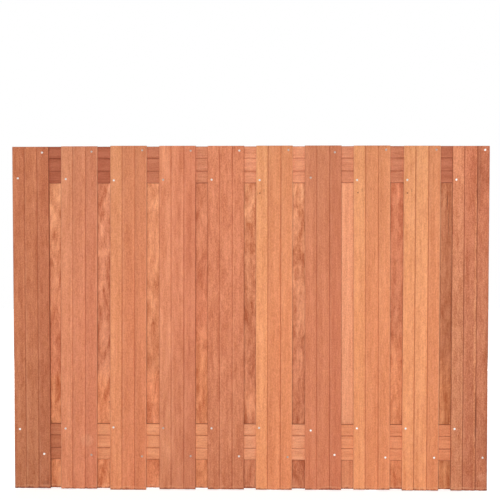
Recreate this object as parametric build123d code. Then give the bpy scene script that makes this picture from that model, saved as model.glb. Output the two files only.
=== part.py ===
from build123d import *
import math
import os

# Hardwood fence panel: vertical boards screwed to the front and the back of two flat rails.
# The front boards stand apart, and each back board stands behind a gap and laps the boards beside it.
# Boards and rails are cut from one planed stock with two V grooves in its good face.
# Frame: millimetres, +Z up, the front looks along -Y.
# Origin: bottom edge, middle of the width, middle of the thickness.

# Panel
PANEL_WIDTH = 1800.0
PANEL_HEIGHT = 1309.0
FRONT_BOARDS = 10
# Hand work on the front boards, from left to right: set off their even places at the foot and at the top, which
# makes some of them lean, and cut short at the top and at the foot
FRONT_FOOT_SHIFT = [0.0, -7.5, -3.5, 0.5, 0.5, -1.0, 2.0, 1.5, 0.5, 0.0]
FRONT_TOP_SHIFT = [0.0, 1.0, 3.5, 4.0, 2.5, 1.0, -0.5, -2.0, 2.0, 0.0]
FRONT_TOP_SHORT = [3.0, 1.5, 0.0, 0.5, 1.0, 0.5, 0.5, 1.0, 2.0, 3.5]
FRONT_FOOT_SHORT = [4.5, 3.5, 0.0, 3.0, 3.5, 3.0, 3.5, 5.0, 3.0, 3.5]
BACK_FOOT_SHORT = [2.5, 1.0, 3.5, 3.5, 3.0, 2.5, 2.5, 3.0, 3.0]

# Planed stock of the boards and rails
STOCK_WIDTH = 138.0
STOCK_THICKNESS = 15.0
GROOVE_SPACING = 48.6
GROOVE_WIDTH = 5.0
GROOVE_DEPTH = 3.0
FACE_ARRIS = 2.0
BACK_ARRIS = 1.0

# Clear height under the bottom rail, and how far the top rail and the back boards stop below the highest top
BOTTOM_RAIL_CLEARANCE = 115.0
TOP_RAIL_DROP = 2.0

# Countersunk wood screws, two on a diagonal at each crossing of a board and a rail
HEAD_DIAMETER = 8.0
SHANK_DIAMETER = 4.0
HEAD_HEIGHT = 2.4
RAIL_BITE = 10.0
SCREW_SIDES = 8

# Screw places, measured in from the edges of the board and of the rail
LEFT_INSET = 13.0
RIGHT_INSET = 16.5
TOP_RAIL_LOW_INSET = 10.0
TOP_RAIL_HIGH_INSET = 15.0
BOTTOM_RAIL_LOW_INSET = 14.0
BOTTOM_RAIL_HIGH_INSET = 13.0
# How much further in the screws of each front board were driven, from left to right
SCREW_DRIFT = [8.0, 5.0, 0.0, 2.0, 2.0, 0.0, 9.0, 0.0, 0.0, 1.0]

# Worked out from the sizes above
BACK_BOARDS = FRONT_BOARDS - 1
PITCH = (PANEL_WIDTH - STOCK_WIDTH) / BACK_BOARDS
FIRST_CENTRE = -PANEL_WIDTH / 2 + STOCK_WIDTH / 2
FRONT_FACE = -1.5 * STOCK_THICKNESS
SCREW_LENGTH = STOCK_THICKNESS + RAIL_BITE
HEAD_FLARE = (HEAD_DIAMETER - SHANK_DIAMETER) / 2 * math.cos(math.pi / SCREW_SIDES)
HEAD_SLOPE = math.degrees(math.atan2(HEAD_FLARE, HEAD_HEIGHT))
TOP_RAIL_FLOOR = PANEL_HEIGHT - TOP_RAIL_DROP - STOCK_WIDTH


def stock_profile():
    """Cross-section of the planed stock in XY: width along X, good face towards -Y, centred."""
    half_thick = STOCK_THICKNESS / 2
    half_groove = GROOVE_WIDTH / 2
    with BuildSketch() as sketch:
        Rectangle(STOCK_WIDTH, STOCK_THICKNESS)
        for centre in (-GROOVE_SPACING / 2, GROOVE_SPACING / 2):
            with BuildLine():
                Polyline(
                    (centre - half_groove, -half_thick),
                    (centre, -half_thick + GROOVE_DEPTH),
                    (centre + half_groove, -half_thick),
                    close=True,
                )
            make_face(mode=Mode.SUBTRACT)
        rows = sketch.vertices().group_by(Axis.Y)
        face_row = rows[0].sort_by(Axis.X)
        back_row = rows[-1]
        chamfer([face_row[0], face_row[-1]], FACE_ARRIS)
        chamfer(back_row, BACK_ARRIS)
    return sketch.sketch


def upright(profile, foot, top, lean=0.0):
    """A board with level ends at two heights and its good face towards -Y. Its top stands off its foot by the lean."""
    along = Vector(lean, 0, top - foot)
    return Pos(0, 0, foot) * extrude(profile, amount=along.length, dir=along.normalized())


def crosswise(profile):
    """A rail that lies along X on its lower edge at the origin, good face towards -Y."""
    lying = extrude(profile, amount=PANEL_WIDTH)
    along_x = Pos(-PANEL_WIDTH / 2, 0, STOCK_WIDTH / 2) * Rot(0, 90, 0)
    return along_x * lying


def screw():
    """One screw along +Y, with the face of its head at the origin. Its sides are flats, to keep it light."""
    face = Plane(origin=(0, 0, 0), x_dir=(1, 0, 0), z_dir=(0, 1, 0))
    neck = face.offset(HEAD_HEIGHT)
    rim = face * RegularPolygon(HEAD_DIAMETER / 2, SCREW_SIDES)
    throat = neck * RegularPolygon(SHANK_DIAMETER / 2, SCREW_SIDES)
    blank = extrude(rim, amount=HEAD_HEIGHT, dir=face.z_dir)
    sides = blank.faces().filter_by(Axis.Y, reverse=True)
    head = draft(sides, face, HEAD_SLOPE)
    shank = extrude(throat, amount=SCREW_LENGTH - HEAD_HEIGHT, dir=face.z_dir)
    return head + shank


def crossing_screws(centre, low, high, low_on_left, drift, from_back):
    """The two screws where a board crosses a rail, at two heights, seen in the panel's own X and Z."""
    left = centre - STOCK_WIDTH / 2 + LEFT_INSET + drift
    right = centre + STOCK_WIDTH / 2 - RIGHT_INSET - drift
    low += drift
    high -= drift
    places = [(left, low), (right, high)] if low_on_left else [(left, high), (right, low)]
    driven = []
    for x, z in places:
        if from_back:
            driven.append(Pos(x, -FRONT_FACE, z) * Rot(0, 0, 180) * screw())
        else:
            driven.append(Pos(x, FRONT_FACE, z) * screw())
    return driven


def bored(piece, screws):
    """The piece with the holes that its screws fill."""
    box = piece.bounding_box()
    near = [s for s in screws if s.bounding_box().overlaps(box)]
    return piece - near if near else piece


def of_board(values, index):
    """One board's own value. The list starts again where there are more boards than values."""
    return values[index % len(values)]


def front_centre(index, height):
    """Middle of a front board at a height."""
    at_foot = of_board(FRONT_FOOT_SHIFT, index)
    at_top = of_board(FRONT_TOP_SHIFT, index)
    return FIRST_CENTRE + index * PITCH + at_foot + (at_top - at_foot) * height / PANEL_HEIGHT


def back_centres():
    return [FIRST_CENTRE + (i + 0.5) * PITCH for i in range(BACK_BOARDS)]


def all_screws():
    """Screws by node name: each rail's, from the front and from the back."""
    rails = {
        "top": (TOP_RAIL_FLOOR, TOP_RAIL_LOW_INSET, TOP_RAIL_HIGH_INSET, True),
        "bottom": (BOTTOM_RAIL_CLEARANCE, BOTTOM_RAIL_LOW_INSET, BOTTOM_RAIL_HIGH_INSET, False),
    }
    groups = {}
    for rail, (floor, low_inset, high_inset, low_on_left) in rails.items():
        low = floor + low_inset
        high = floor + STOCK_WIDTH - high_inset
        front = []
        for i in range(FRONT_BOARDS):
            centre = front_centre(i, floor + STOCK_WIDTH / 2)
            front += crossing_screws(centre, low, high, low_on_left, of_board(SCREW_DRIFT, i), False)
        back = []
        for centre in back_centres():
            back += crossing_screws(centre, low, high, low_on_left, 0.0, True)
        groups[f"front_screws_{rail}_rail"] = front
        groups[f"back_screws_{rail}_rail"] = back
    return groups


def build():
    """Every sub-part by node name."""
    profile = stock_profile()
    rail = crosswise(profile)
    groups = all_screws()
    screws = [s for group in groups.values() for s in group]
    parts = {}
    for i in range(FRONT_BOARDS):
        foot = of_board(FRONT_FOOT_SHORT, i)
        top = PANEL_HEIGHT - of_board(FRONT_TOP_SHORT, i)
        x = front_centre(i, foot)
        lean = front_centre(i, top) - x
        piece = Pos(x, -STOCK_THICKNESS, 0) * upright(profile, foot, top, lean)
        parts[f"front_board_{i + 1:02d}"] = bored(piece, screws)
    for i, x in enumerate(back_centres()):
        foot = of_board(BACK_FOOT_SHORT, i)
        top = PANEL_HEIGHT - TOP_RAIL_DROP
        piece = Pos(x, STOCK_THICKNESS, 0) * Rot(0, 0, 180) * upright(profile, foot, top)
        parts[f"back_board_{i + 1:02d}"] = bored(piece, screws)
    parts["top_rail"] = bored(Pos(0, 0, TOP_RAIL_FLOOR) * rail, screws)
    parts["bottom_rail"] = bored(Pos(0, 0, BOTTOM_RAIL_CLEARANCE) * rail, screws)
    for name, group in groups.items():
        parts[name] = Compound(children=group)
    return parts


os.makedirs("parts", exist_ok=True)
for node, shape in build().items():
    export_step(shape, f"parts/{node}.step")
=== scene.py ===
import math
import random

import bmesh
import bpy
from mathutils import Euler, Matrix, Vector


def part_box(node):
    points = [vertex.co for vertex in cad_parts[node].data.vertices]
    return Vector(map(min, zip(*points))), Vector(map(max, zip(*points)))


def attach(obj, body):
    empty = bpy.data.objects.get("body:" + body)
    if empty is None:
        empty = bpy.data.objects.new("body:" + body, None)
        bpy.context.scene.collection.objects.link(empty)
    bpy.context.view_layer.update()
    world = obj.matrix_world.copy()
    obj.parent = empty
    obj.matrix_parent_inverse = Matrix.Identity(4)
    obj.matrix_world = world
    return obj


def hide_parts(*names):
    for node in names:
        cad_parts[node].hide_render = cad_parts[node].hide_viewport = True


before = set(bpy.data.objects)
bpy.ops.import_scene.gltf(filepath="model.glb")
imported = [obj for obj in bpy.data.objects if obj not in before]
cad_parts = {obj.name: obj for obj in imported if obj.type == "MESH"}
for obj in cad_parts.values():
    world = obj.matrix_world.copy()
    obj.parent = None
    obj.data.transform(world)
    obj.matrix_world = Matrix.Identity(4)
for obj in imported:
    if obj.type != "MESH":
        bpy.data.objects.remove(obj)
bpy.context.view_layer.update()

mm = 0.001
hair = 0.02 * mm  # what lies closer than this is in one place
print("frame loaded:", len(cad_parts), "nodes")


# Hand tools

def deselectAll():
    if bpy.context.object and bpy.context.object.mode != "OBJECT":
        bpy.ops.object.mode_set(mode="OBJECT")
    bpy.ops.object.select_all(action="DESELECT")


def takeUp(piece):
    deselectAll()
    piece.select_set(True)
    bpy.context.view_layer.objects.active = piece


def editPiece(piece):
    takeUp(piece)
    bpy.ops.object.mode_set(mode="EDIT")


def putDown(piece):  # back to object mode, after points were moved in code
    bmesh.update_edit_mesh(piece.data)
    bpy.ops.object.mode_set(mode="OBJECT")


def pick(piece, kind, test):  # kind is verts, edges or faces
    bpy.ops.mesh.select_mode(type={"verts": "VERT", "edges": "EDGE", "faces": "FACE"}[kind])
    bpy.ops.mesh.select_all(action="DESELECT")
    mesh = bmesh.from_edit_mesh(piece.data)
    for item in getattr(mesh, kind):
        if test(item):
            item.select_set(True)
    mesh.select_flush_mode()
    bmesh.update_edit_mesh(piece.data)


def near(a, b):
    return abs(a - b) < hair


def sliceAcross(axis, places):  # axis 0 cuts across the width, 2 across the length
    normal = [0, 0, 0]
    normal[axis] = 1
    for place in places:
        point = [0, 0, 0]
        point[axis] = place
        bpy.ops.mesh.select_all(action="SELECT")
        bpy.ops.mesh.bisect(plane_co=point, plane_no=normal)


def extrudeDown(drop, taper=None):  # what is selected goes down, and narrows where there is a taper
    bpy.ops.mesh.extrude_region_move(TRANSFORM_OT_translate={"value": (0, 0, -drop)})
    if taper:
        bpy.ops.transform.resize(value=(taper, taper, 1))


def softenEdges(piece, values, clamp):  # values are those of the stock or of the screw
    takeUp(piece)
    soften = piece.modifiers.new("soften", "BEVEL")
    soften.width = values["edgeRound"]
    soften.segments = values["roundSteps"]
    soften.limit_method = "ANGLE"
    soften.angle_limit = math.radians(values["roundFrom"])
    soften.use_clamp_overlap = clamp
    bpy.ops.object.modifier_apply(modifier="soften")


def smoothFaces(piece, values):
    takeUp(piece)
    bpy.ops.object.shade_smooth_by_angle(angle=math.radians(values["smoothUpTo"]))


def freshCopy(source, name):
    piece = source.copy()
    piece.data = source.data.copy()
    piece.name = name
    bpy.context.collection.objects.link(piece)
    return piece


def settle(piece):  # place and turn go into the mesh
    takeUp(piece)
    bpy.ops.object.transform_apply(location=True, rotation=True, scale=True)


def joinUp(pieces):  # one object from several, with their places and turns in its mesh
    takeUp(pieces[0])
    for piece in pieces:
        piece.select_set(True)
    bpy.ops.object.join()
    bpy.ops.object.transform_apply(location=True, rotation=True, scale=True)
    return bpy.context.object


def discard(piece):
    deselectAll()
    bpy.data.objects.remove(piece, do_unlink=True)


def pieceName(node):  # front_board_01 becomes frontBoard01
    first, *rest = node.split("_")
    return first + "".join(word.capitalize() for word in rest)


def standFor(node, piece, material):  # the finished piece takes the CAD node's place
    piece.data.materials.clear()
    piece.data.materials.append(material)
    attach(piece, "root")
    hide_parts(node)


# Planed stock with two V grooves in its good face, which looks along -Y

stock = dict(
    width=138 * mm,
    grooveSpacing=48.6 * mm,
    grooveWidth=5 * mm,
    grooveDepth=3 * mm,
    faceArris=2 * mm,
    backArris=1 * mm,
    edgeRound=0.5 * mm,
    roundSteps=2,
    roundFrom=25,      # degrees
    smoothUpTo=30,
    stripCuts=4,       # cuts in each strip, for worn ends
    lengthStep=30 * mm,
    endCuts=(3 * mm, 9 * mm),
)
grooveCentres = (-stock["grooveSpacing"] / 2, stock["grooveSpacing"] / 2)


def runsAlong(edge):
    a, b = edge.verts
    return near(a.co.x, b.co.x) and near(a.co.y, b.co.y)


def cornerEdge(edge, x, y):
    return runsAlong(edge) and near(abs(edge.verts[0].co.x), x) and near(edge.verts[0].co.y, y)


def makeBlank(name, size):
    deselectAll()
    bpy.ops.mesh.primitive_cube_add(size=1, location=(0, 0, size.z / 2), scale=size)
    blank = bpy.context.object
    blank.name = name
    settle(blank)
    editPiece(blank)
    half = stock["grooveWidth"] / 2
    face = -size.y / 2
    for centre in grooveCentres:
        sliceAcross(0, (centre - half, centre, centre + half))
    pick(blank, "verts", lambda v: near(abs(v.co.x), grooveCentres[1]) and near(v.co.y, face))
    bpy.ops.transform.translate(value=(0, stock["grooveDepth"], 0))
    pick(blank, "edges", lambda e: cornerEdge(e, size.x / 2, face))
    bpy.ops.mesh.bevel(offset=stock["faceArris"], segments=1, affect="EDGES")
    pick(blank, "edges", lambda e: cornerEdge(e, size.x / 2, -face))
    bpy.ops.mesh.bevel(offset=stock["backArris"], segments=1, affect="EDGES")
    lips = [-size.x / 2, grooveCentres[0] - half, grooveCentres[0] + half]
    lips += [-lip for lip in reversed(lips)]
    for start, end in zip(lips[::2], lips[1::2]):
        step = (end - start) / (stock["stripCuts"] + 1)
        sliceAcross(0, [start + step * (i + 1) for i in range(stock["stripCuts"])])
    steps = round(size.z / stock["lengthStep"])
    sliceAcross(2, [size.z * i / steps for i in range(1, steps)])
    sliceAcross(2, stock["endCuts"])
    bpy.ops.object.mode_set(mode="OBJECT")
    return blank


def nodeSize(node):
    low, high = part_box(node)
    return high - low


def endMiddle(node, height):  # middle of the CAD board's width at its foot or top
    across = [vert.co.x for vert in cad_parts[node].data.vertices if near(vert.co.z, height)]
    return (min(across) + max(across)) / 2


boardBox = nodeSize("front_board_03")  # the longest one
boardSize = Vector((stock["width"], boardBox.y, boardBox.z))
railBox = nodeSize("top_rail")
railSize = Vector((railBox.z, railBox.y, railBox.x))
boardBlank = makeBlank("boardBlank", boardSize)
railBlank = makeBlank("railBlank", railSize)
print("stock planed:", len(boardBlank.data.polygons), "faces a board")


# Screw places, read from the heads of the CAD screws

headReach = 9 * mm  # a rim is 8 mm across, and the next one is further off


def headCentres(node, outward):  # outward is -1 for the front, 1 for the back
    points = [v.co.copy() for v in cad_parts[node].data.vertices]
    faceY = max(p.y * outward for p in points) * outward
    rims = []
    for point in points:
        if not near(point.y, faceY):
            continue
        for rim in rims:
            if (rim[0] - point).length < headReach:
                rim.append(point)
                break
        else:
            rims.append([point])
    middles = [[(min(p[k] for p in rim) + max(p[k] for p in rim)) / 2 for k in range(3)] for rim in rims]
    return sorted((Vector(middle) for middle in middles), key=lambda c: (round(c.x, 4), c.z))


screwRows = dict(
    front_screws_top_rail=-1,
    front_screws_bottom_rail=-1,
    back_screws_top_rail=1,
    back_screws_bottom_rail=1,
)
screwPlaces = {node: headCentres(node, outward) for node, outward in screwRows.items()}
print("screw places:", {node: len(places) for node, places in screwPlaces.items()})


# Countersunk holes

hole = dict(
    mouth=9.2 * mm,
    throat=4.1 * mm,
    sink=2.7 * mm,
    proud=0.4 * mm,    # how far the cutter stands out of the face
    reach=25.2 * mm,
    sides=24,
)


def makeCutter():
    deselectAll()
    slope = (hole["mouth"] - hole["throat"]) / 2 / hole["sink"]
    bpy.ops.mesh.primitive_circle_add(
        vertices=hole["sides"], radius=hole["mouth"] / 2 + slope * hole["proud"],
        fill_type="NGON", location=(0, 0, hole["proud"]))
    cutter = bpy.context.object
    cutter.name = "countersink"
    settle(cutter)
    editPiece(cutter)
    pick(cutter, "faces", lambda f: True)
    shrink = hole["throat"] / (hole["mouth"] + 2 * slope * hole["proud"])
    extrudeDown(hole["proud"] + hole["sink"], shrink)
    extrudeDown(hole["reach"] - hole["sink"])
    bpy.ops.mesh.select_all(action="SELECT")
    bpy.ops.mesh.normals_make_consistent(inside=False)
    bpy.ops.object.mode_set(mode="OBJECT")
    return cutter


cutterBlank = makeCutter()


def facing(outward):  # turns what points along +Z to the front or the back
    return Euler((math.radians(-90 * outward), 0, 0))


def drill(piece, places):  # places are (centre, outward) pairs
    cutters = []
    for centre, outward in places:
        cutter = freshCopy(cutterBlank, "cutter")
        cutter.location = centre
        cutter.rotation_euler = facing(outward)
        cutters.append(cutter)
    tool = joinUp(cutters)
    takeUp(piece)
    bore = piece.modifiers.new("bore", "BOOLEAN")
    bore.operation = "DIFFERENCE"
    bore.solver = "EXACT"
    bore.object = tool
    bpy.ops.object.modifier_apply(modifier="bore")
    discard(tool)


def screwsThrough(node, rows):
    low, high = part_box(node)
    return [(centre, screwRows[row]) for row in rows for centre in screwPlaces[row]
            if low.x < centre.x < high.x and low.z < centre.z < high.z]


# Colours as they look on screen

def screenColour(red, green, blue):
    def linear(level):
        share = level / 255
        return share / 12.92 if share < 0.04045 else ((share + 0.055) / 1.055) ** 2.4
    return (linear(red), linear(green), linear(blue), 1)


tones = dict(
    umber=screenColour(195, 120, 85),
    russet=screenColour(210, 130, 95),
    copper=screenColour(215, 135, 100),
    amber=screenColour(220, 140, 100),
    honey=screenColour(230, 150, 105),
    blush=screenColour(235, 165, 125),
)
drifts = dict(  # what a tone is multiplied by at the foot, middle or top of a piece
    shaded=(0.6, 0.5, 0.5),
    deep=(0.85, 0.75, 0.7),
    dim=(0.9, 0.95, 0.95),
    plain=(1.0, 1.0, 1.0),
    warm=(1.1, 1.2, 1.1),
    rosy=(1.05, 1.2, 1.25),
    pale=(1.2, 1.55, 1.55),
)


# Node helpers

noiseSpan = (0.3, 0.7)  # most of a noise lies between these


def newMaterial(name):
    material = bpy.data.materials.new(name)
    material.use_nodes = True
    return material, material.node_tree, material.node_tree.nodes["Principled BSDF"]


def addNode(tree, kind, **settings):
    node = tree.nodes.new("ShaderNode" + kind)
    for key, value in settings.items():
        setattr(node, key, value)
    return node


def plug(tree, socket, value):
    if isinstance(value, bpy.types.NodeSocket):
        tree.links.new(value, socket)
    else:
        socket.default_value = value


def calc(tree, operation, *values):
    node = addNode(tree, "Math", operation=operation)
    for socket, value in zip(node.inputs, values):
        plug(tree, socket, value)
    return node.outputs[0]


def times(tree, first, second):
    return calc(tree, "MULTIPLY", first, second)


def ramp(tree, value, low, high, start=0.0, end=1.0, smooth=False):
    node = addNode(tree, "MapRange", interpolation_type="SMOOTHSTEP" if smooth else "LINEAR")
    names = ("Value", "From Min", "From Max", "To Min", "To Max")
    for name, given in zip(names, (value, low, high, start, end)):
        plug(tree, node.inputs[name], given)
    return node.outputs["Result"]


def fade(tree, value, low, high, smooth=False):  # 1 up to low, 0 from high on
    return ramp(tree, value, low, high, 1.0, 0.0, smooth)


def mixColour(tree, share, first, second):
    node = addNode(tree, "Mix", data_type="RGBA", clamp_factor=True)
    plug(tree, node.inputs["Factor"], share)
    plug(tree, node.inputs[6], first)   # A
    plug(tree, node.inputs[7], second)  # B
    return node.outputs[2]


def mixVector(tree, share, first, second):
    node = addNode(tree, "Mix", data_type="VECTOR", clamp_factor=False)
    plug(tree, node.inputs["Factor"], share)
    plug(tree, node.inputs[4], first)   # A
    plug(tree, node.inputs[5], second)  # B
    return node.outputs[1]


def calcVector(tree, operation, *values):
    node = addNode(tree, "VectorMath", operation=operation)
    for socket, value in zip(node.inputs, values):
        plug(tree, socket, value)
    return node.outputs["Value" if operation == "LENGTH" else "Vector"]


def scaleVector(tree, vector, by):
    return calcVector(tree, "MULTIPLY", vector, by)


def noise(tree, vector, seed, detail, rough, twist=0.0):
    node = addNode(tree, "TexNoise", noise_dimensions="4D")
    plug(tree, node.inputs["Vector"], vector)
    plug(tree, node.inputs["W"], seed)
    for name, value in (("Scale", 1.0), ("Detail", detail), ("Roughness", rough), ("Distortion", twist)):
        node.inputs[name].default_value = value
    return node.outputs[0]


def patches(tree, vector, stretch, seed):
    return noise(tree, scaleVector(tree, vector, stretch), seed, detail=3, rough=0.6)


def axesOf(tree, vector):
    node = addNode(tree, "SeparateXYZ")
    plug(tree, node.inputs[0], vector)
    return node.outputs


def newGroup(name, inputs, outputs):
    tree = bpy.data.node_groups.new(name, "ShaderNodeTree")
    for label, (kind, default) in inputs.items():
        socket = tree.interface.new_socket(name=label, in_out="INPUT", socket_type="NodeSocket" + kind)
        if default is not None:
            socket.default_value = default
    for label, kind in outputs.items():
        tree.interface.new_socket(name=label, in_out="OUTPUT", socket_type="NodeSocket" + kind)
    given = tree.nodes.new("NodeGroupInput").outputs
    result = tree.nodes.new("NodeGroupOutput").inputs
    return tree, given, result


def useGroup(tree, group, **values):
    node = tree.nodes.new("ShaderNodeGroup")
    node.node_tree = group
    for name, value in values.items():
        plug(tree, node.inputs[name], value)
    return node.outputs


# Grain of planed hardwood: Z runs along the board, in metres

grainLayers = dict(
    Fibre=dict(stretch=(230, 230, 24), detail=4, rough=0.65, twist=0.0, span=noiseSpan, shift=0.0),
    Streak=dict(stretch=(80, 80, 2.2), detail=3, rough=0.55, twist=0.3, span=noiseSpan, shift=7.3),
    Pore=dict(stretch=(620, 620, 46), detail=1, rough=0.5, twist=0.0, span=(0.6, 0.74), shift=13.1),
    Cloud=dict(stretch=(24, 24, 4.5), detail=3, rough=0.55, twist=0.8, span=noiseSpan, shift=21.7),
    Figure=dict(stretch=(75, 75, 17), detail=4, rough=0.6, twist=1.2, span=noiseSpan, shift=27.3),
    Speckle=dict(stretch=(260, 260, 170), detail=3, rough=0.7, twist=0.0, span=(0.25, 0.75), shift=33.9),
    Flame=dict(stretch=(20, 20, 7), detail=5, rough=0.62, twist=1.6, span=(0.36, 0.64), shift=37.1),
    Blush=dict(stretch=(95, 95, 38), detail=3, rough=0.6, twist=0.8, span=noiseSpan, shift=41.2),
)


def makeGrainGroup():
    tree, given, result = newGroup(
        "plankGrain",
        dict(Vector=("Vector", None), Seed=("Float", 0.0)),
        {layer: "Float" for layer in grainLayers})
    for layer, look in grainLayers.items():
        place = scaleVector(tree, given["Vector"], look["stretch"])
        seed = calc(tree, "ADD", given["Seed"], look["shift"])
        raw = noise(tree, place, seed, look["detail"], look["rough"], look["twist"])
        tree.links.new(ramp(tree, raw, *look["span"]), result[layer])
    return tree


grainTints = dict(
    shading=("Fibre", "Streak", "Cloud", "Figure", "Flame", "Speckle"),  # layers that lighten and darken
    light=(1.09, 1.13, 1.14),
    dark=(0.92, 0.86, 0.83),
    pore=(0.72, 0.62, 0.58),
    golden=(1.01, 1.02, 0.95),
    pink=(1.0, 0.98, 1.05),
    roughness=(0.55, 0.75),
    poreSink=0.8,
)


def makeTintGroup():
    inputs = dict(Color=("Color", tones["copper"]))
    for layer in grainLayers:
        inputs[layer] = ("Float", 0.5)
        inputs[layer + " Amount"] = ("Float", 0.5)
    outputs = dict(Color="Color", Roughness="Float", Relief="Float")
    tree, given, result = newGroup("grainTint", inputs, outputs)

    def leaning(layer, start):
        aside = calc(tree, "SUBTRACT", given[layer], 0.5)
        return calc(tree, "MULTIPLY_ADD", aside, given[layer + " Amount"], start)

    shade = 0.5
    for layer in grainTints["shading"]:
        shade = leaning(layer, shade)
    tint = mixVector(tree, shade, grainTints["light"], grainTints["dark"])
    hue = mixVector(tree, leaning("Blush", 0.5), grainTints["golden"], grainTints["pink"])
    shaded = scaleVector(tree, scaleVector(tree, given["Color"], tint), hue)
    pores = times(tree, given["Pore"], given["Pore Amount"])
    pored = scaleVector(tree, shaded, grainTints["pore"])
    relief = calc(tree, "MULTIPLY_ADD", pores, -grainTints["poreSink"], given["Fibre"])
    tree.links.new(mixColour(tree, pores, shaded, pored), result["Color"])
    tree.links.new(ramp(tree, shade, 0.0, 1.0, *grainTints["roughness"]), result["Roughness"])
    tree.links.new(relief, result["Relief"])
    return tree


even = ("Vector", (1, 1, 1))  # a tint that changes nothing
stripTints = dict(
    leftGroove=(-0.51, -0.49),  # groove spacings from the middle, where one tint goes over into the next
    rightGroove=(0.49, 0.51),
    inside=(-0.3, 0.5),         # thicknesses from the middle, where the tints are lost towards the back
)


def makeStripGroup():  # strips between the grooves; the slope is painted shade that darkens the left side of every strip but the first, as on cupped strips
    tree, given, result = newGroup(
        "stripTint",
        dict(Vector=("Vector", None), Spacing=("Float", 0.05), Thickness=("Float", 0.015),
             Left=even, Middle=even, Right=even, Slope=("Float", 0.0)),
        dict(Tint="Vector"))
    x, y, z = axesOf(tree, given["Vector"])
    side = calc(tree, "DIVIDE", x, given["Spacing"])
    pastLeft = ramp(tree, side, *stripTints["leftGroove"])
    pastRight = ramp(tree, side, *stripTints["rightGroove"])
    tint = mixVector(tree, pastLeft, given["Left"], given["Middle"])
    tint = mixVector(tree, pastRight, tint, given["Right"])
    # painted shade across each strip, darker on its left side
    onStrip = calc(tree, "FLOORED_MODULO", calc(tree, "ADD", side, 0.5), 1.0)
    slope = times(tree, given["Slope"], pastLeft)
    level = calc(tree, "MULTIPLY_ADD", calc(tree, "SUBTRACT", onStrip, 0.5), slope, 1.0)
    levels = addNode(tree, "CombineXYZ")
    for socket in levels.inputs:
        plug(tree, socket, level)
    tint = scaleVector(tree, tint, levels.outputs[0])
    depth = calc(tree, "DIVIDE", y, given["Thickness"])
    lost = ramp(tree, depth, *stripTints["inside"])
    tree.links.new(mixVector(tree, lost, tint, (1, 1, 1)), result["Tint"])
    return tree


def makeLengthGroup():  # tone that drifts along the board
    tree, given, result = newGroup(
        "lengthTint",
        {"Vector": ("Vector", None), "Length": ("Float", 1.3), "Foot": even, "Middle": even, "Top": even,
         "Foot Hold": ("Float", 0.0), "Foot Reach": ("Float", 0.5), "Top Reach": ("Float", 0.5)},
        dict(Tint="Vector"))
    x, y, z = axesOf(tree, given["Vector"])
    height = calc(tree, "DIVIDE", z, given["Length"])
    fromTop = calc(tree, "SUBTRACT", 1.0, height)
    risen = ramp(tree, height, given["Foot Hold"], given["Foot Reach"])
    tint = mixVector(tree, risen, given["Foot"], given["Middle"])
    tint = mixVector(tree, fade(tree, fromTop, 0.0, given["Top Reach"]), tint, given["Top"])
    tree.links.new(tint, result["Tint"])
    return tree


grooveShadeAndDirt = dict(
    faceEnds=(1.2, 1.5),           # groove depths below the good face
    groovesEnd=(0.28, 0.32),       # widths from the middle of the board
    patches=(40, 40, 25),
    dirtAndShadeFrom=(0.05, 0.6),          # groove depths
    dirtAndShadePatches=(0.75, 1.25),
    lipStarts=(1.5 * mm, 3 * mm),  # right of the middle of a groove
    lipEnds=(5 * mm, 8 * mm),
    lipSpan=(0.35, 0.65),
    lipPatches=(0.3, 1.5),
    rim=(0.482, 0.497),            # widths from the middle of the board
)


def makeGrooveGroup():  # dirt and painted shade in the grooves, a painted highlight right of each one, and painted shade along the board's long edges, which a pale colour turns into a painted highlight
    tree, given, result = newGroup(
        "grooveShadeAndGrime",
        dict(Vector=("Vector", None), Spacing=("Float", 0.05), Depth=("Float", 0.003),
             Width=("Float", 0.14), Face=("Float", -0.0075), Seed=("Float", 0.0)),
        {"Dirt": "Float", "Lip": "Float", "Left Rim": "Float", "Right Rim": "Float"})
    x, y, z = axesOf(tree, given["Vector"])
    side = calc(tree, "DIVIDE", x, given["Width"])
    sunk = calc(tree, "DIVIDE", calc(tree, "SUBTRACT", y, given["Face"]), given["Depth"])
    onFace = fade(tree, sunk, *grooveShadeAndDirt["faceEnds"])
    grooved = times(tree, fade(tree, calc(tree, "ABSOLUTE", side), *grooveShadeAndDirt["groovesEnd"]), onFace)
    patchy = patches(tree, given["Vector"], grooveShadeAndDirt["patches"], given["Seed"])
    # the deeper in a groove, the more dirt and painted shade
    deep = ramp(tree, sunk, *grooveShadeAndDirt["dirtAndShadeFrom"], smooth=True)
    dirt = times(tree, deep, ramp(tree, patchy, *noiseSpan, *grooveShadeAndDirt["dirtAndShadePatches"]))
    tree.links.new(times(tree, dirt, grooved), result["Dirt"])
    # painted highlight on the right wall of each groove and the face beside it, as if lit from the left
    half = times(tree, given["Spacing"], 0.5)
    past = calc(tree, "FLOORED_MODULO", calc(tree, "ADD", x, half), given["Spacing"])
    lip = times(tree, ramp(tree, past, *grooveShadeAndDirt["lipStarts"]), fade(tree, past, *grooveShadeAndDirt["lipEnds"]))
    lip = times(tree, lip, ramp(tree, patchy, *grooveShadeAndDirt["lipSpan"], *grooveShadeAndDirt["lipPatches"]))
    tree.links.new(times(tree, lip, grooved), result["Lip"])
    # painted shade along the long edges
    low, high = grooveShadeAndDirt["rim"]
    tree.links.new(ramp(tree, side, -low, -high), result["Left Rim"])
    tree.links.new(ramp(tree, side, low, high), result["Right Rim"])
    return tree


spotEdge = dict(
    fray=(180, 180, 90),
    core=0.4,          # share of the size that is covered in full
)


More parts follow.
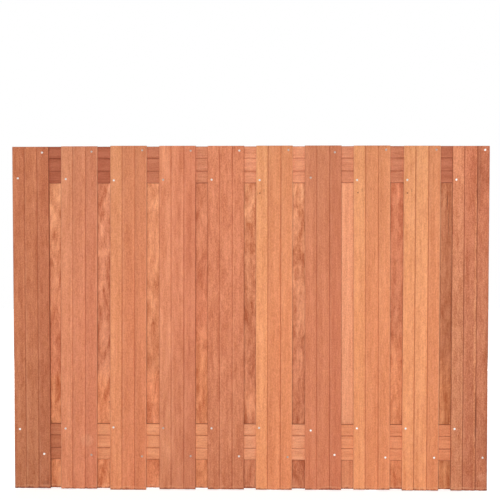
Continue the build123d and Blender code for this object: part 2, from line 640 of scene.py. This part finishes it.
def makeSpotGroup():  # a soft spot on one face, such as a pin knot or a scuff
    tree, given, result = newGroup(
        "softSpot",
        dict(Vector=("Vector", None), Place=("Vector", (0, 0, 0)), Size=("Vector", (0.01, 0.01, 0.01)),
             Ragged=("Float", 0.4), Seed=("Float", 0.0)),
        dict(Mask="Float"))
    away = calcVector(tree, "SUBTRACT", given["Vector"], given["Place"])
    reach = calcVector(tree, "LENGTH", calcVector(tree, "DIVIDE", away, given["Size"]))
    rough = patches(tree, given["Vector"], spotEdge["fray"], given["Seed"])
    frayed = calc(tree, "MULTIPLY_ADD", calc(tree, "SUBTRACT", rough, 0.5), given["Ragged"], reach)
    tree.links.new(fade(tree, frayed, spotEdge["core"], 1.0, smooth=True), result["Mask"])
    return tree


endLook = dict(
    sawn=(0.2 * mm, 0.7 * mm),       # from either end
    dampPatches=(60, 60, 0),
    dampSpan=(0.35, 0.7),
    dampReach=(2 * mm, 13 * mm),     # up from the foot
    dampCore=0.3,
    scuffPatches=(35, 35, 0),
    scuffHeight=(7 * mm, 13 * mm),
    scuffEdge=(1 * mm, 4 * mm),
)


def makeEndGroup():  # sawn ends, damp foot and pale scuffs just above it
    tree, given, result = newGroup(
        "endWear",
        dict(Vector=("Vector", None), Length=("Float", 1.3), Seed=("Float", 0.0)),
        dict(Sawn="Float", Damp="Float", Scuff="Float"))
    x, y, z = axesOf(tree, given["Vector"])
    nearest = calc(tree, "MINIMUM", z, calc(tree, "SUBTRACT", given["Length"], z))
    tree.links.new(fade(tree, nearest, *endLook["sawn"]), result["Sawn"])
    wavy = patches(tree, given["Vector"], endLook["dampPatches"], given["Seed"])
    reach = ramp(tree, wavy, *endLook["dampSpan"], *endLook["dampReach"])
    damp = fade(tree, calc(tree, "DIVIDE", z, reach), endLook["dampCore"], 1.0, smooth=True)
    tree.links.new(damp, result["Damp"])
    patchy = patches(tree, given["Vector"], endLook["scuffPatches"], given["Seed"])
    rubbed = ramp(tree, patchy, *noiseSpan)
    height = ramp(tree, rubbed, 0.0, 1.0, *endLook["scuffHeight"])
    aside = calc(tree, "ABSOLUTE", calc(tree, "SUBTRACT", z, height))
    tree.links.new(times(tree, fade(tree, aside, *endLook["scuffEdge"]), rubbed), result["Scuff"])
    return tree


grainGroup = makeGrainGroup()
tintGroup = makeTintGroup()
stripGroup = makeStripGroup()
lengthGroup = makeLengthGroup()
grooveGroup = makeGrooveGroup()
spotGroup = makeSpotGroup()
endGroup = makeEndGroup()
print("node groups made")


# Hardwood, one material a board

woodLook = dict(
    fibre=0.8, streak=0.85, cloud=0.4, figure=0.65, flame=0.2, speckle=2.0, pore=0.5, blush=0.7,
    # the slope is painted shade across each strip
    strips=(1.0, 1.0, 1.0), slope=0.0,
    foot="plain", middle="plain", top="plain",
    footHold=0.0, footReach=0.5, topReach=0.5,  # shares of the length
    # dirt in the grooves is partly painted shade, the lip is a painted highlight, and the rims are painted
    # shade along the long edges
    dirt=0.2, lip=0.07, leftRim=0.06, rightRim=0.06, damp=0.6, scuff=0.35, sawn=0.45,
    spots=(),
    gloss=0.3,
    bump=0.6,
    relief=0.12 * mm,
    dirtAndShadeColour=screenColour(120, 66, 48),
    rimShadingAndGrimeColour=screenColour(104, 56, 42),
    dampColour=screenColour(108, 56, 46),
    scuffColour=screenColour(238, 178, 140),
    lipHighlightColour=screenColour(246, 196, 158),
    sawnColour=screenColour(150, 88, 62),
)


def pieceSpace(tree, place, turn):  # object coordinates laid along the piece: x across, z along
    back = turn.to_matrix().inverted()
    coordinates = addNode(tree, "TexCoord")
    mapping = addNode(tree, "Mapping")
    mapping.inputs["Location"].default_value = -(back @ place)
    mapping.inputs["Rotation"].default_value = back.to_euler()
    tree.links.new(coordinates.outputs["Object"], mapping.inputs["Vector"])
    return mapping.outputs[0]


def warmth(level):  # a lighter strip is more golden, a darker one redder
    return (level, level ** 2, level ** 1.9)


def makeWood(name, place, turn, length, look):
    values = {**woodLook, **look}
    material, tree, shader = newMaterial("wood_" + name)
    space = pieceSpace(tree, place, turn)
    seed = values["seed"]
    face = -boardSize.y / 2

    left, middle, right = [warmth(level) for level in values["strips"]]
    strip = useGroup(
        tree, stripGroup, Vector=space, Spacing=stock["grooveSpacing"], Thickness=boardSize.y,
        Left=left, Middle=middle, Right=right, Slope=values["slope"])
    reaches = {
        "Foot Hold": values["footHold"], "Foot Reach": values["footReach"], "Top Reach": values["topReach"]}
    drift = useGroup(
        tree, lengthGroup, Vector=space, Length=length,
        Foot=drifts[values["foot"]], Middle=drifts[values["middle"]], Top=drifts[values["top"]], **reaches)
    toned = scaleVector(tree, scaleVector(tree, drift["Tint"], strip["Tint"]), tones[values["tone"]][:3])
    for spot in values["spots"]:  # under the grain, on the good face or the plain one
        across, along = spot["place"]
        wide, high = spot["size"]
        centre = (across, -face if spot["plain"] else face, along)
        soft = useGroup(tree, spotGroup, Vector=space, Place=centre, Size=(wide, wide, high), Seed=seed)
        toned = mixColour(tree, times(tree, soft["Mask"], spot["amount"]), toned, spot["colour"])

    grain = useGroup(tree, grainGroup, Vector=space, Seed=seed)
    layers = {layer: grain[layer] for layer in grainLayers}
    amounts = {layer + " Amount": values[layer.lower()] for layer in grainLayers}
    tinted = useGroup(tree, tintGroup, Color=toned, **layers, **amounts)
    shadeAndGrime = useGroup(
        tree, grooveGroup, Vector=space, Spacing=stock["grooveSpacing"], Depth=stock["grooveDepth"],
        Width=stock["width"], Face=face, Seed=seed)
    ends = useGroup(tree, endGroup, Vector=space, Length=length, Seed=seed)
    # the lip is a painted highlight, the dirt is partly painted shade, and the rims are painted shade,
    # which a pale rim colour turns into a painted highlight; scuff, damp and sawn ends are marks of the
    # wood itself
    covers = [
        (shadeAndGrime["Lip"], values["lip"], values["lipHighlightColour"]),
        (shadeAndGrime["Dirt"], values["dirt"], values["dirtAndShadeColour"]),
        (shadeAndGrime["Left Rim"], values["leftRim"], values["rimShadingAndGrimeColour"]),
        (shadeAndGrime["Right Rim"], values["rightRim"], values["rimShadingAndGrimeColour"]),
        (ends["Scuff"], values["scuff"], values["scuffColour"]),
        (ends["Damp"], values["damp"], values["dampColour"]),
        (ends["Sawn"], values["sawn"], values["sawnColour"]),
    ]
    colour = tinted["Color"]
    for mask, amount, cover in covers:
        colour = mixColour(tree, times(tree, mask, amount), colour, cover)

    tree.links.new(colour, shader.inputs["Base Color"])
    tree.links.new(tinted["Roughness"], shader.inputs["Roughness"])
    shader.inputs["Specular IOR Level"].default_value = values["gloss"]
    bump = addNode(tree, "Bump")
    bump.inputs["Strength"].default_value = values["bump"]
    bump.inputs["Distance"].default_value = values["relief"]
    tree.links.new(tinted["Relief"], bump.inputs["Height"])
    tree.links.new(bump.outputs[0], shader.inputs["Normal"])
    return material


# Front boards, left to right

knotColour = screenColour(120, 60, 40)
paleColour = screenColour(230, 165, 130)
edgeHighlightColour = screenColour(255, 200, 160)
bandColour = screenColour(230, 155, 110)
darkPatchColour = screenColour(150, 90, 65)
splitColour = screenColour(85, 45, 35)


def spotAt(place, size, amount, colour, plain=False):  # mm across and along; plain is the ungrooved side
    return dict(
        place=[value * mm for value in place], size=[value * mm for value in size],
        amount=amount, colour=colour, plain=plain)


def pinKnot(across):  # a pin knot near the top rail, with a short dark streak beside it
    return (
        spotAt((across, 1127), (3.4, 3.8), 0.85, knotColour),
        spotAt((across + 16, 1136), (2.4, 10), 0.45, knotColour),
    )


tornAt = grooveCentres[1] / mm  # the right groove of the last board
boardSeeds = dict(front=1.0, back=60.0, step=3.7)  # each board has grain of its own
# pale rims are a painted highlight along the long edges, and the slope is painted shade across each strip
paleFoot = dict(top="dim", slope=0.1, rimShadingAndGrimeColour=edgeHighlightColour, leftRim=0.4, rightRim=0.5)
paleTop = dict(foot="dim")
frontBoards = (
    dict(paleTop, tone="umber", strips=(1.0, 1.0, 0.95), figure=1.4, flame=0.5, speckle=2.8, rightRim=0.3,
         damp=0.8, spots=[spotAt((52, 20), (18, 14), 0.5, darkPatchColour)]),
    dict(paleFoot, tone="copper", strips=(1.05, 1.0, 0.95),
         spots=[spotAt((30, 187), (34, 30), 0.3, paleColour)]),
    dict(paleFoot, tone="amber", strips=(1.05, 0.95, 0.95)),
    dict(paleTop, tone="copper", strips=(1.05, 1.0, 0.95), cloud=0.9, flame=0.6),
    dict(paleTop, tone="russet", cloud=0.8, figure=1.1, flame=0.8, speckle=2.5),
    dict(paleFoot, tone="honey", strips=(1.05, 0.95, 0.95), dirt=0.3, spots=pinKnot(-55)),
    dict(paleFoot, tone="russet", strips=(1.0, 1.0, 0.95), slope=0.05, leftRim=0.2, rightRim=0.2),
    dict(paleFoot, tone="honey", strips=(1.05, 0.95, 0.95), dirt=0.28, spots=pinKnot(-53)),
    dict(paleFoot, tone="honey", strips=(1.05, 1.05, 0.95), dirt=0.35, scuff=0.5, rightRim=0.8,
         spots=pinKnot(-55)),
    dict(paleTop, tone="russet", middle="dim", strips=(1.05, 0.95, 0.95), figure=1.4, flame=0.9,
         speckle=3.4, dirt=0.4, scuff=0.5, leftRim=0.3, torn=True, spots=[
             spotAt((19, 550), (6, 1000), 0.4, bandColour),
             # darker soft patches right of the torn groove, near the top
             spotAt((32, 1210), (8, 220), 0.4, darkPatchColour),
             spotAt((50, 1240), (28, 150), 0.2, darkPatchColour),
             spotAt((67, 350), (13, 550), 0.3, darkPatchColour),
             spotAt((46, 200), (26, 130), 0.2, darkPatchColour),
             spotAt((46, 52), (26, 20), 0.35, paleColour),
             spotAt((tornAt, 270), (3.5, 150), 0.8, splitColour),
             spotAt((tornAt, 1120), (3.5, 300), 0.5, splitColour),
         ]),
)

# Back boards, left to right, each behind a gap

backLook = dict(
    footHold=0.3, footReach=0.36, topReach=0.64,
    cloud=0.9, figure=1.3, flame=2.0, speckle=2.4, scuff=0.45)
backBoards = (
    dict(tone="russet", foot="warm", top="pale", flame=2.6),
    dict(tone="copper", foot="warm", middle="dim", top="rosy", flame=2.8,
         spots=[spotAt((-14, 333), (3, 3.4), 0.85, knotColour, plain=True)]),
    dict(tone="amber", middle="dim", top="rosy"),
    dict(tone="russet", foot="warm", top="rosy", footHold=0.36, footReach=0.5, topReach=0.5),
    dict(tone="russet", foot="dim", middle="dim", top="pale", flame=3.0,
         spots=[spotAt((0, 330), (120, 85), 0.3, bandColour)]),
    dict(tone="russet", foot="dim", middle="dim", top="pale", flame=3.0),
    dict(tone="blush", foot="deep", footHold=0.12, footReach=0.2, topReach=0.8,
         cloud=0.4, figure=0.4, flame=0.2, streak=1.2, blush=0.3),
    dict(tone="russet", foot="warm", middle="dim", footHold=0.36, footReach=0.5, topReach=0.5),
    dict(tone="umber", foot="warm", middle="dim", top="rosy", footReach=0.42, topReach=0.58,
         figure=0.6, flame=1.6, streak=2.6, fibre=1.6, spots=[
             spotAt((-8, 1097), (2, 36), 0.7, splitColour, plain=True),
             spotAt((-12, 1010), (1.8, 70), 0.5, splitColour, plain=True),
         ]),
)

footWear = dict(depth=0.9 * mm)


def wearFoot(piece, seed):  # splinters lost from the sawn foot
    chance = random.Random(seed)
    editPiece(piece)
    mesh = bmesh.from_edit_mesh(piece.data)
    lost = {}
    for vert in mesh.verts:
        if near(vert.co.z, 0):
            spot = round(vert.co.x, 4)
            lost.setdefault(spot, footWear["depth"] * chance.random() ** 2)
            vert.co.z += lost[spot]
    putDown(piece)


tear = dict(
    step=9 * mm,
    wander=2 * mm,
    chip=2.8 * mm,
    hold=0.75,         # how much of its drift a row takes over from the row below
    pull=0.5,          # how much is new
)


def tearGroove(piece, seed):  # the right groove wanders, and chips are torn off its lips
    chance = random.Random(seed)
    editPiece(piece)
    rows = round(boardSize.z / tear["step"])
    sliceAcross(2, [boardSize.z * i / rows for i in range(1, rows)])
    mesh = bmesh.from_edit_mesh(piece.data)
    half = stock["grooveWidth"] / 2
    lines = {}
    for vert in mesh.verts:
        aside = vert.co.x - grooveCentres[1]
        if vert.co.y < 0 and abs(aside) < half + hair:
            lines.setdefault(round(vert.co.z, 4), []).append((vert, aside))
    drift = 0.0
    last = -tear["step"]
    for height in sorted(lines):
        if height - last > tear["step"] / 3:  # rows closer than that move as one
            drift = tear["hold"] * drift + tear["pull"] * chance.uniform(-1, 1)
            chips = {-1: chance.random() ** 2, 1: chance.random() ** 2}
            last = height
        for vert, aside in lines[height]:
            side = 0 if near(aside, 0) else math.copysign(1, aside)
            vert.co.x += drift * tear["wander"] + side * chips.get(side, 0) * tear["chip"]
    putDown(piece)


def leanOver(piece, lean, length):  # the top moves aside and the ends stay level
    editPiece(piece)
    mesh = bmesh.from_edit_mesh(piece.data)
    for vert in mesh.verts:
        vert.co.x += lean * vert.co.z / length
    putDown(piece)


def makeUpright(node, turned, look):
    low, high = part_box(node)
    length = high.z - low.z
    lean = endMiddle(node, high.z) - endMiddle(node, low.z)
    place = Vector((endMiddle(node, low.z), (low.y + high.y) / 2, low.z))
    about = math.pi if turned else 0  # a back board has its good face to the back
    outward = 1 if turned else -1
    piece = freshCopy(boardBlank, pieceName(node))
    editPiece(piece)
    pick(piece, "verts", lambda v: near(v.co.z, boardSize.z))
    bpy.ops.transform.translate(value=(0, 0, length - boardSize.z))
    if look.get("torn"):
        tearGroove(piece, look["seed"])
    wearFoot(piece, look["seed"])
    softenEdges(piece, stock, clamp=False)
    leanOver(piece, lean, length)
    piece.location = place
    piece.rotation_euler = Euler((0, 0, about))
    settle(piece)
    drill(piece, screwsThrough(node, [row for row in screwRows if screwRows[row] == outward]))
    smoothFaces(piece, stock)
    turn = Euler((0, math.atan2(lean, length), about))
    standFor(node, piece, makeWood(piece.name, place, turn, length, look))


for i, own in enumerate(frontBoards):
    seed = boardSeeds["front"] + boardSeeds["step"] * i
    makeUpright(f"front_board_{i + 1:02d}", False, {**own, "seed": seed})
print("front boards made")

for i, own in enumerate(backBoards):
    seed = boardSeeds["back"] + boardSeeds["step"] * i
    makeUpright(f"back_board_{i + 1:02d}", True, {**backLook, **own, "seed": seed})
print("back boards made")


# Rails, on edge between the two rows of boards

rails = dict(  # foot is the left end, top the right end, left rim the upper edge
    # the rims are painted shade and grime where a rail meets the back boards, and the groove dirt is partly
    # painted shade
    top_rail=dict(
        tone="copper", seed=101.0, lip=0.0, dirt=0.3, rightRim=0.4,
        streak=1.1, fibre=1.2, flame=0.4, footHold=0.2, footReach=0.5, topReach=0.4,
        foot="shaded", middle="rosy", top="shaded"),
    bottom_rail=dict(
        tone="amber", seed=117.0, lip=0.0, dirt=0.45, leftRim=0.55, rightRim=0.45,
        streak=1.0, fibre=1.0, flame=0.5, footHold=0.05, footReach=0.2, topReach=0.5,
        foot="shaded", middle="rosy", spots=[spotAt((0, 1000), (250, 270), 0.4, paleColour)]),
)


def makeRail(node, look):
    low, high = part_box(node)
    place = Vector((low.x, (low.y + high.y) / 2, (low.z + high.z) / 2))
    turn = Euler((0, math.radians(90), 0))
    piece = freshCopy(railBlank, pieceName(node))
    softenEdges(piece, stock, clamp=False)
    piece.location = place
    piece.rotation_euler = turn
    settle(piece)
    drill(piece, screwsThrough(node, screwRows))
    smoothFaces(piece, stock)
    standFor(node, piece, makeWood(piece.name, place, turn, railSize.z, look))


for node, look in rails.items():
    makeRail(node, look)
print("rails made")


# Stainless screws with a six-lobe recess

screw = dict(
    head=7.9 * mm,
    rim=0.3 * mm,
    headDepth=2.3 * mm,
    shank=3.9 * mm,
    length=24.6 * mm,
    tip=5 * mm,
    tipTaper=0.15,
    sunk=0.3 * mm,
    sides=48,
    drive=4.2 * mm,    # across the lobes
    lobes=6,
    lobeDepth=0.11,
    driveDepth=1.5 * mm,
    driveTaper=0.92,
    edgeRound=0.12 * mm,
    roundSteps=2,
    roundFrom=40,      # degrees
    smoothUpTo=35,
)


def makeScrew():
    deselectAll()
    bpy.ops.mesh.primitive_circle_add(vertices=screw["sides"], radius=screw["head"] / 2, fill_type="NGON")
    piece = bpy.context.object
    piece.name = "screwBlank"
    editPiece(piece)
    pick(piece, "faces", lambda f: True)
    bpy.ops.mesh.inset(thickness=(screw["head"] - screw["drive"]) / 2)
    mesh = bmesh.from_edit_mesh(piece.data)
    for vert in [v for v in mesh.verts if v.select]:
        angle = math.atan2(vert.co.y, vert.co.x)
        reach = 1 - screw["lobeDepth"] * (1 - math.cos(screw["lobes"] * angle))
        vert.co.x *= reach
        vert.co.y *= reach
    bmesh.update_edit_mesh(piece.data)
    extrudeDown(screw["driveDepth"], screw["driveTaper"])
    pick(piece, "edges", lambda e: e.is_boundary)
    extrudeDown(screw["rim"])
    extrudeDown(screw["headDepth"] - screw["rim"], screw["shank"] / screw["head"])
    extrudeDown(screw["length"] - screw["headDepth"] - screw["tip"])
    extrudeDown(screw["tip"], screw["tipTaper"])
    bpy.ops.mesh.edge_face_add()
    bpy.ops.mesh.select_all(action="SELECT")
    bpy.ops.mesh.normals_make_consistent(inside=False)
    bpy.ops.object.mode_set(mode="OBJECT")
    softenEdges(piece, screw, clamp=True)
    smoothFaces(piece, screw)
    return piece


steelLook = dict(
    clean=screenColour(246, 244, 240),
    dusty=screenColour(180, 152, 136),
    marks=(900, 900, 900),
    roughness=(0.25, 0.4),
    dustRoughness=0.2,   # added to it on a dusty head
    dustMetal=0.6,
)


def makeSteel():
    material, tree, shader = newMaterial("stainlessScrew")
    marked = scaleVector(tree, addNode(tree, "TexCoord").outputs["Object"], steelLook["marks"])
    marks = noise(tree, marked, seed=2.0, detail=2, rough=0.6)
    dust = addNode(tree, "Attribute", attribute_name="tarnish", attribute_type="GEOMETRY").outputs["Fac"]
    colour = mixColour(tree, dust, steelLook["clean"], steelLook["dusty"])
    rough = ramp(tree, marks, *noiseSpan, *steelLook["roughness"])
    rough = calc(tree, "MULTIPLY_ADD", dust, steelLook["dustRoughness"], rough)
    metal = ramp(tree, dust, 0.0, 1.0, 1.0, steelLook["dustMetal"])
    tree.links.new(colour, shader.inputs["Base Color"])
    tree.links.new(rough, shader.inputs["Roughness"])
    tree.links.new(metal, shader.inputs["Metallic"])
    return material


bright, grey, dull = 0.0, 0.4, 0.8
tarnish = dict(  # the left and the right screw of each board
    front_screws_top_rail=(
        (grey, grey), (grey, dull), (grey, dull), (dull, dull), (grey, grey),
        (grey, dull), (dull, dull), (grey, dull), (grey, dull), (bright, bright)),
    front_screws_bottom_rail=(
        (bright, bright), (grey, dull), (grey, dull), (dull, dull), (grey, grey),
        (grey, dull), (bright, bright), (bright, bright), (bright, bright), (bright, grey)),
)
screwBlank = makeScrew()
steel = makeSteel()


def driveScrews(node, outward):
    chance = random.Random(node)
    pairs = tarnish.get(node, ((grey, grey),))
    copies = []
    for i, centre in enumerate(screwPlaces[node]):
        copy = freshCopy(screwBlank, "screw")
        level = pairs[(i // 2) % len(pairs)][i % 2]
        layer = copy.data.attributes.new("tarnish", "FLOAT", "POINT")
        layer.data.foreach_set("value", [level] * len(copy.data.vertices))
        copy.location = centre - Vector((0, outward * screw["sunk"], 0))
        spin = Matrix.Rotation(chance.random() * math.tau, 3, "Z")
        copy.rotation_euler = (facing(outward).to_matrix() @ spin).to_euler()
        copies.append(copy)
    piece = joinUp(copies)
    piece.name = pieceName(node)
    standFor(node, piece, steel)


for node, outward in screwRows.items():
    driveScrews(node, outward)
for blank in (screwBlank, cutterBlank, boardBlank, railBlank):
    discard(blank)
print("screws driven")


# Floor, light and camera

studio = dict(
    floorSize=30,
    floorColour=(0.85, 0.85, 0.85, 1),
    floorRoughness=0.9,
    floorLift=(0.72, 1.0),     # what the floor itself shows to the camera, near the panel and far off
    floorFade=(1.0, 4.0),      # metres
    ambient=0.2,
    aim=(0, 0, 0.65),
    lamps=(                    # place, size, share of the light on the boards
        ((-0.3, -6.2, 1.4), 0.8, 0.46),
        ((0.75, -6.2, 1.3), 0.8, 0.23),
        ((1.5, 6.0, 2.0), 2.0, 0.4),
        ((-1.5, 6.0, 2.0), 2.0, 0.3),
    ),
)


def seenDirectly(tree):  # 1 for what the camera sees straight, in metal or through glass
    path = addNode(tree, "LightPath")
    seen = calc(tree, "MAXIMUM", path.outputs["Is Camera Ray"], path.outputs["Is Glossy Ray"])
    return calc(tree, "MAXIMUM", seen, path.outputs["Is Transmission Ray"])


def makeFloor():
    deselectAll()
    bpy.ops.mesh.primitive_plane_add(size=studio["floorSize"])
    floor = bpy.context.object
    floor.name = "floor"
    material, tree, shader = newMaterial("paleFloor")
    shader.inputs["Base Color"].default_value = studio["floorColour"]
    shader.inputs["Roughness"].default_value = studio["floorRoughness"]
    shader.inputs["Specular IOR Level"].default_value = 0.0
    shader.inputs["Emission Color"].default_value = (1, 1, 1, 1)
    away = calcVector(tree, "LENGTH", addNode(tree, "TexCoord").outputs["Object"])
    lift = ramp(tree, away, *studio["floorFade"], *studio["floorLift"])
    tree.links.new(times(tree, seenDirectly(tree), lift), shader.inputs["Emission Strength"])
    floor.data.materials.append(material)


def makeWorld():
    world = bpy.data.worlds.new("studio")
    bpy.context.scene.world = world
    world.use_nodes = True
    tree = world.node_tree
    sky = tree.nodes["Background"]
    sky.inputs["Color"].default_value = (1, 1, 1, 1)
    tree.links.new(ramp(tree, seenDirectly(tree), 0.0, 1.0, studio["ambient"], 1.0), sky.inputs["Strength"])


def makeLamps():
    for place, size, share in studio["lamps"]:
        deselectAll()
        bpy.ops.object.light_add(type="AREA", location=place)
        lamp = bpy.context.object
        throw = Vector(studio["aim"]) - Vector(place)
        lamp.data.size = size
        lamp.data.energy = share * (math.pi * throw.length) ** 2  # watts for that share on a facing board
        lamp.rotation_euler = throw.to_track_quat("-Z", "Y").to_euler()
        lamp.visible_glossy = False


camera = dict(
    lens=100.8,
    sensor=36,             # mm wide
    place=(0.1654, -5.3163, 0.9351),
    lookDown=2.947,        # degrees
    lookLeft=1.779,
    shiftUp=0.134,         # the panel stands low in the picture
)


def makeCamera():
    deselectAll()
    bpy.ops.object.camera_add(
        location=camera["place"],
        rotation=(math.radians(90 - camera["lookDown"]), 0, math.radians(camera["lookLeft"])))
    eye = bpy.context.object
    eye.data.lens = camera["lens"]
    eye.data.sensor_width = camera["sensor"]
    eye.data.shift_y = camera["shiftUp"]
    bpy.context.scene.camera = eye


makeFloor()
makeWorld()
makeLamps()
makeCamera()
bpy.context.scene.view_settings.view_transform = "Standard"
print("studio set")

deselectAll()
